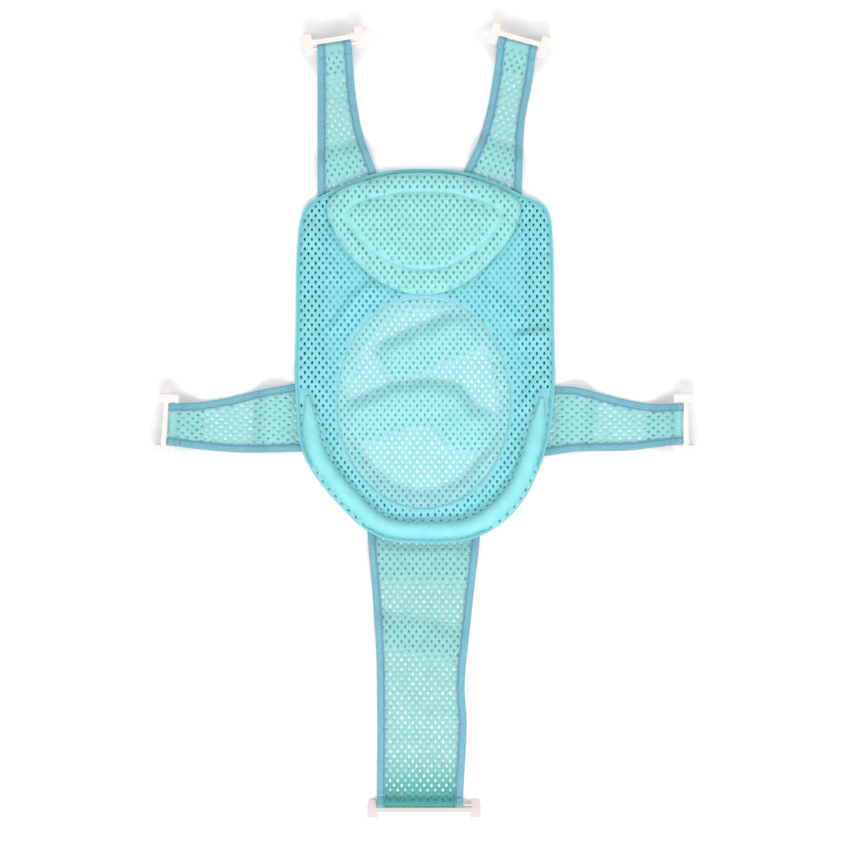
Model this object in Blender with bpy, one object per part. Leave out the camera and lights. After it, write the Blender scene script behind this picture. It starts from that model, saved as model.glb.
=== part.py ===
"""Baby bath support net: a mesh sling with a pillow, a bumper, five straps and five rim clips.

The net is laid out flat on the floor. Units are metres. +Y points to the head end, +Z is up, and the
origin lies on the floor under the middle of the whole net. Left and right are those of a viewer who
looks down on it with the head end away from them.
"""

import math

import bmesh
import bpy
from mathutils import Vector
from mathutils.geometry import interpolate_bezier

# ---------------------------------------------------------------- driving dimensions

FIT_GAP = 0.0003            # clearance between sewn or touching pieces

# Body net: a shield with a crowned top edge, straight sides and a U-shaped foot end.
BODY_OUTLINE = [
    (0.1435, 0.0200), (0.1440, 0.1200), (0.1425, 0.2050), (0.1360, 0.2405),
    (0.1100, 0.2555), (0.0510, 0.2800), (0.0000, 0.2850), (-0.0540, 0.2800),
    (-0.1150, 0.2550), (-0.1335, 0.2400), (-0.1410, 0.2050), (-0.1430, 0.1200),
    (-0.1435, 0.0300), (-0.1335, -0.0360), (-0.0870, -0.0980), (-0.0480, -0.1265),
    (0.0000, -0.1322), (0.0560, -0.1265), (0.1010, -0.0960), (0.1300, -0.0430),
]
BODY_SAMPLES = 72
NET_THICKNESS = 0.0020
NET_LEVEL = 0.0020          # middle of the net's thickness above the floor

# Binding tape: folded over a raw edge, so its section is a channel.
TAPE_WALL = 0.0006
BODY_TAPE_DEPTH = 0.0040
STRAP_TAPE_DEPTH = 0.0080

# Seat pouch: a slack oval panel sewn into the body net, with a flat tape under its seam.
SEAT_CENTRE = (-0.0010, 0.0250)
SEAT_RADII = (0.0970, 0.1185)
SEAT_SAMPLES = 40
SEAT_FLAT_SHARE = 0.50      # part of the oval's radius that lies on the floor
SEAT_ROLL_SHARE = 0.80      # part of the radius where the slack cloth rises
SEAT_ROLL_HEIGHT = 0.0060
SEAM_TAPE_WIDTH = 0.0080
SEAM_TAPE_THICKNESS = 0.0006

# Pillow: a quilted half-moon pad at the head end, with a stitched groove around its middle.
PILLOW_OUTLINE = [
    (0.1040, 0.2500), (0.0500, 0.2755), (0.0000, 0.2810), (-0.0540, 0.2755),
    (-0.1065, 0.2510), (-0.1000, 0.2140), (-0.0765, 0.1815), (-0.0400, 0.1540),
    (0.0005, 0.1450), (0.0400, 0.1550), (0.0800, 0.1885), (0.1020, 0.2220),
]
PILLOW_CENTRE = (0.0000, 0.2230)
PILLOW_SAMPLES = 36
PAD_BASE = 0.0042           # underside of the pads, just above the body's binding
# Each ring of the pillow's upper surface: share of the width, share of the length, height.
PILLOW_RINGS = [
    (1.000, 1.000, 0.0042), (0.985, 0.975, 0.0085), (0.930, 0.890, 0.0125), (0.860, 0.760, 0.0125),
    (0.790, 0.636, 0.0095), (0.720, 0.540, 0.0130), (0.420, 0.320, 0.0160),
]
COVER_WALL = 0.0010

# Bumper: a foam roll in a mesh sleeve around the foot end.
BUMPER_WIDTH = 0.0240
BUMPER_HEIGHT = 0.0150
BUMPER_EDGE_INSET = 0.0005
BUMPER_HEAD_LIMIT = 0.0340  # the roll stops here on the way to the head end
BUMPER_END_TAPER = 0.45     # width and height of the roll's ends as a share of its middle
BUMPER_TAPER_LENGTH = 0.0300
BUMPER_STATIONS = 34
ARCH_STEPS = 6

# Straps: flat mesh bands, bound along both long edges and looped around a clip's bar.
BAND_THICKNESS = 0.0018
STRAP_LEVEL = 0.0018        # middle of a strap's thickness where it lies on the floor
STRAP_STATIONS = 14
STRAP_RISE_START = 0.55     # share of the length after which the strap climbs to the clip
ROOT_GAP = 0.0006
HINGE_LEVEL = 0.0038
LOOP_SIDES = 12
LOOP_INNER_RADIUS = 0.0024
LOOP_OUTER_RADIUS = 0.0035
TAPE_STOP_SHARE = 0.75      # the tape ends this far along the strap's last stretch

# Clips: two hooked arms joined by a front bar and by the bar that the strap's loop holds.
ARM_WIDTH = 0.0095
ARM_THICKNESS = 0.0040
ARM_INNER_REACH = 0.0062
ARM_OUTER_REACH = 0.0173
HOOK_DROP = 0.0180          # hook tip below the strap bar's axis
HOOK_THICKNESS = 0.0043
HOOK_LIP = 0.0012
HOOK_LIP_HEIGHT = 0.0030
STRAP_BAR_RADIUS = 0.0020
STRAP_BAR_SIDES = 12
FRONT_BAR_OFFSET = 0.0073
FRONT_BAR_SMALL = (0.0055, 0.0040)
FRONT_BAR_WIDE = (0.0070, 0.0046)
BAR_OVERLAP = 0.0010
CLIP_SPAN_SMALL = 0.0476
CLIP_SPAN_WIDE = 0.1060

# Every strap: where it leaves the body, its edges from root to tip, and its clip. The left and right
# edges are those of a walk from the body to the clip. tip holds the edges' offsets along the bar.
STRAPS = {
    "shoulder_strap_left": {
        "left": [(-0.1187, 0.2538), (-0.1187, 0.3100), (-0.1187, 0.3700)],
        "right": [(-0.0543, 0.2814), (-0.0699, 0.3251), (-0.0778, 0.3676)],
        "tip": (-0.0189, 0.0180),
        "tapes": ("shoulder_tape_left_outer", "shoulder_tape_left_inner"),
        "clip": "shoulder_clip_left",
        "bar": (-0.1000, 0.4212, 0.0163),
        "heading": 98.9,
        "tilt": 8.0,
        "span": CLIP_SPAN_SMALL,
        "front_bar": FRONT_BAR_SMALL,
    },
    "shoulder_strap_right": {
        "left": [(0.0442, 0.2814), (0.0599, 0.3139), (0.0711, 0.3519), (0.0789, 0.3967)],
        "right": [(0.1080, 0.2528), (0.1087, 0.2904), (0.1113, 0.3385), (0.1192, 0.3810)],
        "tip": (-0.0217, 0.0214),
        "tapes": ("shoulder_tape_right_inner", "shoulder_tape_right_outer"),
        "clip": "shoulder_clip_right",
        "bar": (0.1037, 0.4222, 0.0163),
        "heading": 74.3,
        "tilt": 8.0,
        "span": CLIP_SPAN_SMALL,
        "front_bar": FRONT_BAR_SMALL,
    },
    "side_strap_left": {
        "left": [(-0.1360, -0.0297), (-0.2042, -0.0308), (-0.2490, -0.0274)],
        "right": [(-0.1427, 0.0453), (-0.1852, 0.0375), (-0.2176, 0.0297), (-0.2523, 0.0241)],
        "tip": (-0.0229, 0.0228),
        "tapes": ("side_tape_left_foot", "side_tape_left_head"),
        "clip": "side_clip_left",
        "bar": (-0.2813, 0.0001, 0.0180),
        "heading": 176.2,
        "tilt": 0.0,
        "span": CLIP_SPAN_SMALL,
        "front_bar": FRONT_BAR_SMALL,
    },
    "side_strap_right": {
        "left": [(0.1427, 0.0420), (0.1695, 0.0408), (0.2232, 0.0274), (0.2560, 0.0222)],
        "right": [(0.1390, -0.0341), (0.1695, -0.0297), (0.2277, -0.0285), (0.2560, -0.0252)],
        "tip": (-0.0222, 0.0224),
        "tapes": ("side_tape_right_head", "side_tape_right_foot"),
        "clip": "side_clip_right",
        "bar": (0.2833, 0.0006, 0.0180),
        "heading": 0.0,
        "tilt": 0.0,
        "span": CLIP_SPAN_SMALL,
        "front_bar": FRONT_BAR_SMALL,
    },
    "foot_strap": {
        "left": [(0.0605, -0.1330), (0.0532, -0.1986), (0.0442, -0.2893), (0.0464, -0.3351),
                 (0.0431, -0.4034)],
        "right": [(-0.0621, -0.1330), (-0.0537, -0.2434), (-0.0520, -0.3300), (-0.0525, -0.4034)],
        "tip": (-0.0425, 0.0520),
        "tapes": ("foot_tape_right", "foot_tape_left"),
        "clip": "foot_clip",
        "bar": (-0.0005, -0.4255, 0.0057),
        "heading": 270.0,
        "tilt": 41.6,
        "span": CLIP_SPAN_WIDE,
        "front_bar": FRONT_BAR_WIDE,
    },
}

COLOURS = {
    "mesh_fabric": ((0.28, 0.76, 0.76, 1.0), 0.85),
    "cover_fabric": ((0.30, 0.80, 0.78, 1.0), 0.85),
    "binding_tape": ((0.22, 0.58, 0.76, 1.0), 0.75),
    "foam": ((0.88, 0.88, 0.82, 1.0), 0.95),
    "clip_plastic": ((0.90, 0.89, 0.88, 1.0), 0.30),
}


# ---------------------------------------------------------------- scene and materials

def clear_scene():
    """Remove every object, so that the script can be run again."""
    for old in list(bpy.data.objects):
        bpy.data.objects.remove(old, do_unlink=True)


def material_for(node, finish):
    """A new Principled material for one node."""
    colour, roughness = COLOURS[finish]
    material = bpy.data.materials.new(node + "_" + finish)
    material.use_nodes = True
    shader = material.node_tree.nodes["Principled BSDF"]
    shader.inputs["Base Color"].default_value = colour
    shader.inputs["Roughness"].default_value = roughness
    shader.inputs["Metallic"].default_value = 0.0
    return material


def empty_at(name, place):
    """An empty that carries the pieces of one moving body."""
    carrier = bpy.data.objects.new(name, None)
    carrier.location = place
    bpy.context.collection.objects.link(carrier)
    return carrier


def add_solid(name, points, faces, finish, carrier=None):
    """Link a mesh object whose points are in the frame of its carrier, or of the world."""
    mesh = bpy.data.meshes.new(name)
    mesh.from_pydata([tuple(point) for point in points], [], faces)
    shell = bmesh.new()
    shell.from_mesh(mesh)
    bmesh.ops.recalc_face_normals(shell, faces=shell.faces)
    shell.to_mesh(mesh)
    shell.free()
    solid = bpy.data.objects.new(name, mesh)
    solid.data.materials.append(material_for(name, finish))
    solid.parent = carrier
    bpy.context.collection.objects.link(solid)
    return solid


# ---------------------------------------------------------------- curves

def dense_curve(points, closed):
    """Many points on a smooth curve through the given ones."""
    knots = [Vector(point).to_3d() for point in points]
    count = len(knots)
    dense = []
    for index in range(count if closed else count - 1):
        start = knots[index]
        end = knots[(index + 1) % count]
        before = knots[index - 1] if closed or index > 0 else start
        after = knots[(index + 2) % count] if closed or index + 2 < count else end
        reach = (end - start).length / 3.0
        start_handle = start + (end - before).normalized() * reach
        end_handle = end - (after - start).normalized() * reach
        dense.extend(interpolate_bezier(start, start_handle, end_handle, end, 16)[:-1])
    if not closed:
        dense.append(knots[-1])
    return dense


def evenly_along(dense, samples, closed):
    """Points at equal distances along a chain of close points."""
    chain = dense + [dense[0]] if closed else dense
    travelled = [0.0]
    for first, second in zip(chain, chain[1:]):
        travelled.append(travelled[-1] + (second - first).length)
    steps = samples if closed else samples - 1
    result = []
    index = 0
    for number in range(samples):
        goal = travelled[-1] * number / steps
        while index < len(chain) - 2 and travelled[index + 1] < goal:
            index += 1
        share = (goal - travelled[index]) / (travelled[index + 1] - travelled[index])
        result.append(chain[index].lerp(chain[index + 1], share))
    return result


def smooth_points(points, samples, closed=False):
    """Evenly spaced points on a smooth curve through the given ones."""
    return evenly_along(dense_curve(points, closed), samples, closed)


def inward_directions(loop):
    """The horizontal inward direction at each point of an anticlockwise loop."""
    count = len(loop)
    directions = []
    for index in range(count):
        along = loop[(index + 1) % count] - loop[index - 1]
        directions.append(Vector((-along.y, along.x, 0.0)).normalized())
    return directions


def oval_points(radius_share, height, extra=0.0):
    """A ring of the seat pouch at a share of its radii, widened by extra."""
    ring = []
    for step in range(SEAT_SAMPLES):
        angle = 2.0 * math.pi * step / SEAT_SAMPLES
        across = (SEAT_RADII[0] * radius_share + extra) * math.cos(angle)
        along = (SEAT_RADII[1] * radius_share + extra) * math.sin(angle)
        ring.append(Vector((SEAT_CENTRE[0] + across, SEAT_CENTRE[1] + along, height)))
    return ring


def rise(share):
    """A smooth step from 0 to 1."""
    share = min(max(share, 0.0), 1.0)
    return share * share * (3.0 - 2.0 * share)


# ---------------------------------------------------------------- solids from rings

def skin_rings(rings, closed=False):
    """Points and faces of a body swept through rings of equal length."""
    size = len(rings[0])
    points = [point for ring in rings for point in ring]
    faces = []
    for row in range(len(rings) if closed else len(rings) - 1):
        here = row * size
        there = (row + 1) % len(rings) * size
        for column in range(size):
            beside = (column + 1) % size
            faces.append((here + column, here + beside, there + beside, there + column))
    if not closed:
        faces.append(tuple(range(size)))
        faces.append(tuple(range(len(points) - size, len(points))))
    return points, faces


def tape_section(corner, inward, wall, opening, depth):
    """A channel that opens inwards, around the horizontal plane through its corner."""
    half_open = opening / 2.0
    half_full = half_open + wall
    shape = [
        (0.0, -half_full), (0.0, half_full), (depth, half_full), (depth, half_open),
        (wall, half_open), (wall, -half_open), (depth, -half_open), (depth, -half_full),
    ]
    up = Vector((0.0, 0.0, 1.0))
    return [corner + inward * across + up * height for across, height in shape]


def flat_ring(outer, inner, low, high):
    """Points and faces of a flat plate between two loops."""
    plate = bmesh.new()
    edges = []
    for loop in (outer, inner):
        corners = [plate.verts.new((point.x, point.y, low)) for point in loop]
        for index, corner in enumerate(corners):
            edges.append(plate.edges.new((corners[index - 1], corner)))
    filled = bmesh.ops.triangle_fill(plate, use_beauty=True, edges=edges)
    flat = [item for item in filled["geom"] if isinstance(item, bmesh.types.BMFace)]
    raised = bmesh.ops.extrude_face_region(plate, geom=flat, use_keep_orig=True)
    lifted = [item for item in raised["geom"] if isinstance(item, bmesh.types.BMVert)]
    bmesh.ops.translate(plate, vec=(0.0, 0.0, high - low), verts=lifted)
    plate.verts.index_update()
    points = [corner.co.copy() for corner in plate.verts]
    faces = [tuple(corner.index for corner in face.verts) for face in plate.faces]
    plate.free()
    return points, faces


# ---------------------------------------------------------------- body net

def make_body_net(outline, inward):
    """The flat body net, its binding, the seat pouch and the tape under the pouch's seam."""
    low = NET_LEVEL - NET_THICKNESS / 2.0
    high = NET_LEVEL + NET_THICKNESS / 2.0
    edge = TAPE_WALL + FIT_GAP
    net_edge = [point + aim * edge for point, aim in zip(outline, inward)]
    hole = oval_points(1.0, 0.0)
    add_solid("net_panel", *flat_ring(net_edge, hole, low, high), "mesh_fabric")

    opening = NET_THICKNESS + 2.0 * FIT_GAP
    lift = Vector((0.0, 0.0, NET_LEVEL))
    sections = []
    for point, aim in zip(outline, inward):
        sections.append(tape_section(point + lift, aim, TAPE_WALL, opening, BODY_TAPE_DEPTH))
    add_solid("body_binding", *skin_rings(sections, closed=True), "binding_tape")

    half = NET_THICKNESS / 2.0
    stretches = [
        (0.15, half), (SEAT_FLAT_SHARE, half), (0.65, (half + SEAT_ROLL_HEIGHT) / 2.0),
        (SEAT_ROLL_SHARE, SEAT_ROLL_HEIGHT), (0.90, 0.8 * SEAT_ROLL_HEIGHT), (1.0, NET_LEVEL),
    ]
    under = [oval_points(share, middle - half, -FIT_GAP) for share, middle in stretches]
    over = [oval_points(share, middle + half, -FIT_GAP) for share, middle in reversed(stretches)]
    add_solid("seat_panel", *skin_rings(under + over), "mesh_fabric")

    reach = SEAM_TAPE_WIDTH / 2.0
    outer = oval_points(1.0, 0.0, reach)
    inner = oval_points(1.0, 0.0, -reach)
    add_solid("seat_seam_tape", *flat_ring(outer, inner, 0.0, SEAM_TAPE_THICKNESS), "binding_tape")


# ---------------------------------------------------------------- pads

def pillow_ring(outline, width_share, length_share, height, inset):
    """The pillow's outline, drawn in towards its centre."""
    centre = Vector((PILLOW_CENTRE[0], PILLOW_CENTRE[1], 0.0))
    ring = []
    for point in outline:
        arm = point - centre
        arm = Vector((arm.x * width_share, arm.y * length_share, 0.0))
        arm.length = max(arm.length - inset, 0.001)
        ring.append(centre + arm + Vector((0.0, 0.0, height)))
    return ring


def make_pillow():
    """The pillow's cover, open underneath where it is sewn to the net, and the foam inside."""
    outline = smooth_points(PILLOW_OUTLINE, PILLOW_SAMPLES, closed=True)
    over = [pillow_ring(outline, *ring, 0.0) for ring in PILLOW_RINGS]
    under = []
    for width_share, length_share, height in PILLOW_RINGS:
        lowered = max(height - COVER_WALL, PAD_BASE)
        under.append(pillow_ring(outline, width_share, length_share, lowered, COVER_WALL))
    add_solid("pillow_cover", *skin_rings(under[::-1] + over), "cover_fabric")

    depth = COVER_WALL + FIT_GAP
    foam = []
    for width_share, length_share, height in PILLOW_RINGS:
        lowered = max(height - depth, PAD_BASE)
        foam.append(pillow_ring(outline, width_share, length_share, lowered, depth))
    add_solid("pillow_foam", *skin_rings(foam), "foam")


def bumper_path(outline, inward):
    """The middle line of the bumper, from its left end around the foot end to its right end."""
    inset = BUMPER_WIDTH / 2.0 + BUMPER_EDGE_INSET
    run = []
    for point, aim in zip(outline, inward):
        if point.y < BUMPER_HEAD_LIMIT:
            run.append(point + aim * inset)
    run.sort(key=lambda point: math.atan2(point.x, SEAT_CENTRE[1] + SEAT_RADII[1] - point.y))
    return evenly_along(run, BUMPER_STATIONS, closed=False)


def arch_points(width, height, base):
    """A half round arch as pairs of sideways offset and height, from one foot to the other."""
    shape = []
    for step in range(ARCH_STEPS + 1):
        angle = math.pi * step / ARCH_STEPS
        shape.append((width / 2.0 * math.cos(angle), base + height * math.sin(angle)))
    return shape


def make_bumper(outline, inward):
    """The bumper's sleeve, open underneath where it is sewn to the net, and the foam roll inside."""
    path = bumper_path(outline, inward)
    length = sum((second - first).length for first, second in zip(path, path[1:]))
    sleeve = []
    foam = []
    for index, point in enumerate(path):
        before = path[max(index - 1, 0)]
        after = path[min(index + 1, len(path) - 1)]
        along = (after - before).normalized()
        across = Vector((-along.y, along.x, 0.0))
        from_end = length * min(index, len(path) - 1 - index) / (len(path) - 1)
        size = BUMPER_END_TAPER + (1.0 - BUMPER_END_TAPER) * rise(from_end / BUMPER_TAPER_LENGTH)
        width = BUMPER_WIDTH * size
        height = BUMPER_HEIGHT * size
        outside = arch_points(width, height, PAD_BASE)
        inside = arch_points(width - 2.0 * COVER_WALL, height - COVER_WALL, PAD_BASE)
        slack = COVER_WALL + FIT_GAP
        roll = arch_points(width - 2.0 * slack, height - slack, PAD_BASE)
        sleeve.append([point + across * side + Vector((0.0, 0.0, up))
                       for side, up in outside + inside[::-1]])
        foam.append([point + across * side + Vector((0.0, 0.0, up)) for side, up in roll])
    add_solid("bumper_cover", *skin_rings(sleeve), "cover_fabric")
    add_solid("bumper_foam", *skin_rings(foam), "foam")


# ---------------------------------------------------------------- straps

def heading_vectors(heading):
    """The outward direction of a clip and the direction of its bar, to the right of outward."""
    angle = math.radians(heading)
    outward = Vector((math.cos(angle), math.sin(angle), 0.0))
    along_bar = Vector((math.sin(angle), -math.cos(angle), 0.0))
    return outward, along_bar


def root_line(strap, outline):
    """The strap's root, moved outwards until it clears the body's edge, and its outward normal."""
    left = Vector(strap["left"][0]).to_3d()
    right = Vector(strap["right"][0]).to_3d()
    across = (right - left).normalized()
    outward = Vector((-across.y, across.x, 0.0))
    width = (right - left).length
    proud = 0.0
    for point in outline:
        side = (point - left).dot(across)
        if -0.01 < side < width + 0.01:
            proud = max(proud, (point - left).dot(outward))
    shift = outward * (proud + ROOT_GAP)
    return left + shift, right + shift, outward


def strap_stations(strap, left_root, right_root):
    """Pairs of edge points from the root to the loop, each with the strap's own height."""
    outward, along_bar = heading_vectors(strap["heading"])
    bar = Vector(strap["bar"])
    ground = Vector((bar.x, bar.y, 0.0))
    reach = LOOP_OUTER_RADIUS * math.cos(math.pi / LOOP_SIDES)
    meet = ground - outward * reach
    left_tip = meet + along_bar * strap["tip"][0]
    right_tip = meet + along_bar * strap["tip"][1]
    left_edge = [left_root] + [Vector(point).to_3d() for point in strap["left"][1:]] + [left_tip]
    right_edge = [right_root] + [Vector(point).to_3d() for point in strap["right"][1:]] + [right_tip]
    left_run = smooth_points(left_edge, STRAP_STATIONS)
    right_run = smooth_points(right_edge, STRAP_STATIONS)
    stations = []
    for index, (left, right) in enumerate(zip(left_run, right_run)):
        share = index / (STRAP_STATIONS - 1)
        climb = rise((share - STRAP_RISE_START) / (1.0 - STRAP_RISE_START))
        height = STRAP_LEVEL + (bar.z - STRAP_LEVEL) * climb
        stations.append((left, right, height))
    return stations


def band_with_loop(strap, stations):
    """Points and faces of the mesh band and the loop at its tip, one closed body."""
    outward, along_bar = heading_vectors(strap["heading"])
    bar = Vector(strap["bar"])
    up = Vector((0.0, 0.0, 1.0))
    inset = TAPE_WALL + FIT_GAP
    points = []
    faces = []

    def add_corner(point):
        points.append(point)
        return len(points) - 1

    # Band rows hold the left low, left high, right high and right low corners.
    rows = []
    for left, right, height in stations[:-1]:
        across = (right - left).normalized()
        middle = up * height
        half = up * (BAND_THICKNESS / 2.0)
        inner_left = left + across * inset + middle
        inner_right = right - across * inset + middle
        corners = (inner_left - half, inner_left + half, inner_right + half, inner_right - half)
        rows.append([add_corner(corner) for corner in corners])

    # The loop's corners, for its left and right side, start just below the band.
    sides = []
    for offset in (strap["tip"][0] + inset, strap["tip"][1] - inset):
        ends = {}
        for name, radius in (("outer", LOOP_OUTER_RADIUS), ("inner", LOOP_INNER_RADIUS)):
            ends[name] = []
            for step in range(LOOP_SIDES):
                angle = math.pi + (step - 0.5) * 2.0 * math.pi / LOOP_SIDES
                spoke = outward * math.cos(angle) - up * math.sin(angle)
                ends[name].append(add_corner(bar + along_bar * offset + spoke * radius))
        sides.append(ends)
    left_side, right_side = sides
    rows.append([left_side["outer"][0], left_side["outer"][1],
                 right_side["outer"][1], right_side["outer"][0]])

    faces.append(tuple(rows[0]))
    for here, there in zip(rows, rows[1:]):
        for column in range(4):
            beside = (column + 1) % 4
            faces.append((here[column], here[beside], there[beside], there[column]))
    for step in range(LOOP_SIDES):
        after = (step + 1) % LOOP_SIDES
        for ends in sides:
            faces.append((ends["inner"][step], ends["inner"][after],
                          ends["outer"][after], ends["outer"][step]))
        faces.append((left_side["inner"][step], left_side["inner"][after],
                      right_side["inner"][after], right_side["inner"][step]))
        if step > 0:
            faces.append((left_side["outer"][step], left_side["outer"][after],
                          right_side["outer"][after], right_side["outer"][step]))
    return points, faces


def tape_along(stations, side):
    """Points and faces of the binding along the left (0) or right (1) edge of a strap."""
    opening = BAND_THICKNESS + 2.0 * FIT_GAP
    last = stations[-1]
    near = stations[-2]
    stop = tuple(near[part] + (last[part] - near[part]) * TAPE_STOP_SHARE for part in range(3))
    sections = []
    for station in stations[:-1] + [stop]:
        edge = station[side]
        inward = (station[1 - side] - edge).normalized()
        corner = edge + Vector((0.0, 0.0, station[2]))
        sections.append(tape_section(corner, inward, TAPE_WALL, opening, STRAP_TAPE_DEPTH))
    return skin_rings(sections)


def shifted(points, origin):
    """Points as seen from a new origin."""
    return [point - origin for point in points]


def make_strap(name, strap, outline):
    """One strap with its two tapes, carried by an empty on the seam that it folds about."""
    left_root, right_root, outward = root_line(strap, outline)
    hinge = (left_root + right_root) / 2.0 - outward * (ROOT_GAP / 2.0)
    hinge.z = HINGE_LEVEL
    carrier = empty_at("hinge_" + name, hinge)
    stations = strap_stations(strap, left_root, right_root)
    points, faces = band_with_loop(strap, stations)
    add_solid(name, shifted(points, hinge), faces, "mesh_fabric", carrier)
    for side, tape in enumerate(strap["tapes"]):
        points, faces = tape_along(stations, side)
        add_solid(tape, shifted(points, hinge), faces, "binding_tape", carrier)
    return carrier


# ---------------------------------------------------------------- clips

def box_faces(first):
    """The six faces of a box whose eight corners start at an index."""
    quads = [(0, 1, 2, 3), (4, 5, 6, 7), (0, 1, 5, 4), (1, 2, 6, 5), (2, 3, 7, 6), (3, 0, 4, 7)]
    return [tuple(first + corner for corner in quad) for quad in quads]


def clip_bars(strap):
    """The front bar and the round strap bar, both along X and a little way into the arms."""
    half = strap["span"] / 2.0 + BAR_OVERLAP
    depth, height = strap["front_bar"]
    points = []
    for x in (-half, half):
        for y, z in ((-1, -1), (1, -1), (1, 1), (-1, 1)):
            points.append(Vector((x, FRONT_BAR_OFFSET + y * depth / 2.0, z * height / 2.0)))
    faces = box_faces(0)
    rings = []
    for x in (-half, half):
        ring = []
        for step in range(STRAP_BAR_SIDES):
            angle = 2.0 * math.pi * step / STRAP_BAR_SIDES
            ring.append(Vector((x, STRAP_BAR_RADIUS * math.cos(angle),
                                STRAP_BAR_RADIUS * math.sin(angle))))
        rings.append(ring)
    round_points, round_faces = skin_rings(rings)
    start = len(points)
    faces.extend(tuple(start + corner for corner in face) for face in round_faces)
    return points + round_points, faces


def hook_profile():
    """An arm and its hook from the side, as pairs of outward reach and height."""
    half = ARM_THICKNESS / 2.0
    inside = ARM_OUTER_REACH - HOOK_THICKNESS
    return [
        (-ARM_INNER_REACH, -half), (-ARM_INNER_REACH, half),
        (ARM_OUTER_REACH, half), (ARM_OUTER_REACH, -HOOK_DROP),
        (inside - HOOK_LIP, -HOOK_DROP), (inside - HOOK_LIP, -HOOK_DROP + HOOK_LIP_HEIGHT / 2.0),
        (inside, -HOOK_DROP + HOOK_LIP_HEIGHT), (inside, -half),
    ]


def clip_arms(strap):
    """Both hooked arms, one at each end of the bars."""
    profile = hook_profile()
    points = []
    faces = []
    for side in (-1, 1):
        near = side * strap["span"] / 2.0
        far = near + side * ARM_WIDTH
        rings = [[Vector((x, y, z)) for y, z in profile] for x in (near, far)]
        arm_points, arm_faces = skin_rings(rings)
        start = len(points)
        points.extend(arm_points)
        faces.extend(tuple(start + corner for corner in face) for face in arm_faces)
    return points, faces


def make_clip(strap, carrier):
    """One clip, turned to its heading and tilt about the axis of its strap bar."""
    name = strap["clip"]
    clip = add_solid(name, *clip_bars(strap), "clip_plastic", carrier)
    arms = add_solid(name + "_arms", *clip_arms(strap), "clip_plastic", carrier)
    turn = (math.radians(strap["tilt"]), 0.0, math.radians(strap["heading"] - 90.0))
    for piece in (clip, arms):
        piece.location = Vector(strap["bar"]) - carrier.location
        piece.rotation_euler = turn
    arms.hide_render = True
    arms.display_type = "WIRE"
    joined = clip.modifiers.new("arms", "BOOLEAN")
    joined.operation = "UNION"
    joined.solver = "EXACT"
    joined.object = arms


# ---------------------------------------------------------------- assembly

def main():
    """Build the whole net."""
    clear_scene()
    outline = smooth_points(BODY_OUTLINE, BODY_SAMPLES, closed=True)
    inward = inward_directions(outline)
    make_body_net(outline, inward)
    make_pillow()
    make_bumper(outline, inward)
    for name, strap in STRAPS.items():
        carrier = make_strap(name, strap, outline)
        make_clip(strap, carrier)


main()
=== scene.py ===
"""Looks of a baby bath support net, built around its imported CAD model. Units are metres."""

import math

import bmesh
import bpy
import numpy as np
from mathutils import Euler, Matrix, Vector
from mathutils.geometry import delaunay_2d_cdt, interpolate_bezier


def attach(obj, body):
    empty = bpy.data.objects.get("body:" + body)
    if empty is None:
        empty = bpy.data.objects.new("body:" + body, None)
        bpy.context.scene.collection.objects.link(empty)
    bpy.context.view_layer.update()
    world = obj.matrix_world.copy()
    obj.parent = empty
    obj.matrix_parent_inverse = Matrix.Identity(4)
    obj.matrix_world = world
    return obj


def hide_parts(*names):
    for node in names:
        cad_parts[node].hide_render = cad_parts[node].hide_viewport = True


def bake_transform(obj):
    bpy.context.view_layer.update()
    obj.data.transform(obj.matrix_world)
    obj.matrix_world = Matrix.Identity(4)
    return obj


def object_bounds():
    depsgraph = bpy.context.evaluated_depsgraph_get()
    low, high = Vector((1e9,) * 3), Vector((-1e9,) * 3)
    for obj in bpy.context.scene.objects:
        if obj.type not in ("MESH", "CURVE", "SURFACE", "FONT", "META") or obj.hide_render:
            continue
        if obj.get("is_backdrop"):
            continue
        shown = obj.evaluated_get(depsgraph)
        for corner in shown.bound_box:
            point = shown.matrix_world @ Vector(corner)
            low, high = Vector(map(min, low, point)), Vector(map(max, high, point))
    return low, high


# ---- dimensions, as in the CAD

BODY_OUTLINE = [
    (0.1435, 0.02), (0.144, 0.12), (0.1425, 0.205), (0.136, 0.2405),
    (0.11, 0.2555), (0.051, 0.28), (0.0, 0.285), (-0.054, 0.28),
    (-0.115, 0.255), (-0.1335, 0.24), (-0.141, 0.205), (-0.143, 0.12),
    (-0.1435, 0.03), (-0.1335, -0.036), (-0.087, -0.098), (-0.048, -0.1265),
    (0.0, -0.1322), (0.056, -0.1265), (0.101, -0.096), (0.13, -0.043),
]
SEAT_CENTRE = (-0.001, 0.025)
SEAT_RADII = (0.097, 0.1185)
PILLOW_OUTLINE = [
    (0.104, 0.25), (0.05, 0.2755), (0.0, 0.281), (-0.054, 0.2755),
    (-0.1065, 0.251), (-0.1, 0.214), (-0.0765, 0.1815), (-0.04, 0.154),
    (0.0005, 0.145), (0.04, 0.155), (0.08, 0.1885), (0.102, 0.222),
]
PILLOW_CENTRE = (0.0, 0.223)
GROOVE_SHARE = (0.79, 0.636)
BUMPER_WIDTH = 0.024
BUMPER_INSET = 0.0005
BUMPER_HEAD_LIMIT = 0.034
PAD_BASE = 0.0042

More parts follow.
